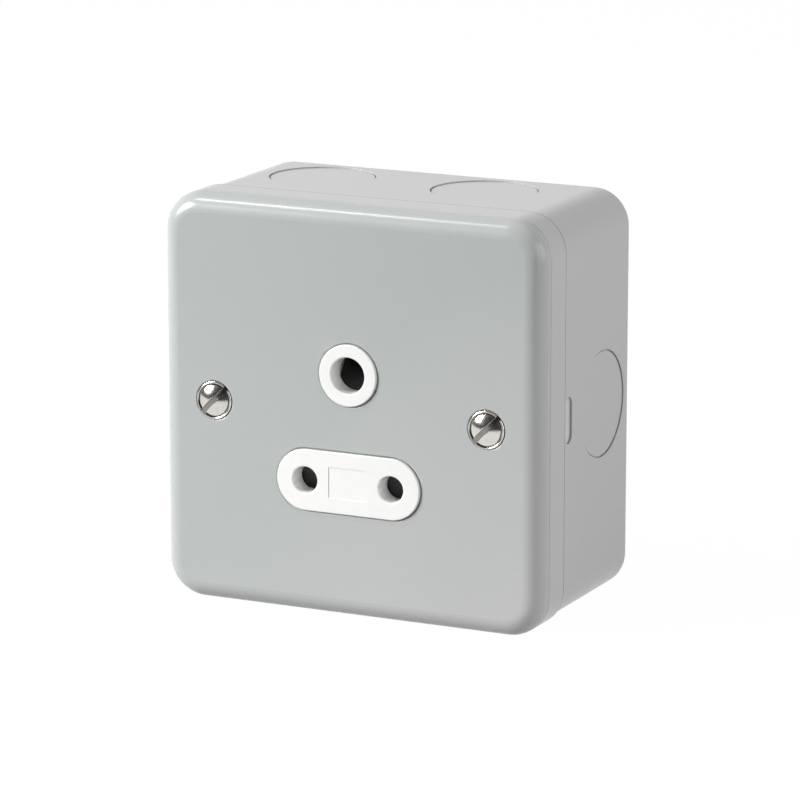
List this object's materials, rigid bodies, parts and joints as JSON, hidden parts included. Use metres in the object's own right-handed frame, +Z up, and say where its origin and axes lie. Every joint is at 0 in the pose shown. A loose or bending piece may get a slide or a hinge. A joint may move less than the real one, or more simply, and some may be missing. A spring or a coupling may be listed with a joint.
{
  "type": "metal clad three round pin socket outlet",
  "caption": "Surface metal clad socket outlet for a three round pin plug: pressed steel cover and knockout box, white moulded front, sliding shutter, brass contacts.",
  "frame": {"origin": "centre of the back face of the box, on the wall", "axes": "+Y into the wall, +Z up with the earth hole above the other two, +X to the right seen from the front"},
  "size_m": [0.084, 0.0464, 0.084],
  "materials": {
    "grey_paint": "satin grey stoved paint on steel",
    "plated_screw": "bright nickel plate",
    "white_urea": "moulded white urea, gloss",
    "base_moulding": "moulded off-white urea, dull",
    "shutter_nylon": "moulded black nylon",
    "spring_steel": "drawn spring steel",
    "brass": "machined and pressed brass",
    "zinc_steel": "zinc plated steel"
  },
  "bodies": {
    "housing": {"front_plate": "grey_paint", "back_box": "grey_paint", "plate_screw_left": "plated_screw", "plate_screw_right": "plated_screw", "socket_front": "white_urea", "socket_base": "base_moulding", "shutter_spring": "spring_steel", "line_contact_clip": "spring_steel", "neutral_contact_clip": "spring_steel", "earth_contact_clip": "spring_steel", "line_contact": "brass", "neutral_contact": "brass", "earth_contact": "brass", "earth_strap": "brass", "box_earth_terminal": "brass", "line_terminal_screw": "brass", "neutral_terminal_screw": "brass", "earth_terminal_screw": "brass", "box_earth_screw": "brass", "fixing_lug_left": "zinc_steel", "fixing_lug_right": "zinc_steel", "moulding_screw_left": "zinc_steel", "moulding_screw_right": "zinc_steel", "cover_stud_upper_left": "zinc_steel", "cover_stud_upper_right": "zinc_steel", "cover_stud_lower_left": "zinc_steel", "cover_stud_lower_right": "zinc_steel", "cover_nut_upper_left": "zinc_steel", "cover_nut_upper_right": "zinc_steel", "cover_nut_lower_left": "zinc_steel", "cover_nut_lower_right": "zinc_steel"},
    "shutter": {"shutter": "shutter_nylon"}
  },
  "joints": [
    {"name": "shutter_slide", "type": "slide", "parent": "housing", "child": "shutter", "axis": [0, 0, -1], "range_m": [0, 0.00756], "stiffness_N_per_m": 550, "springref_m": -0.003, "deforming": ["shutter_spring"]}
  ]
}
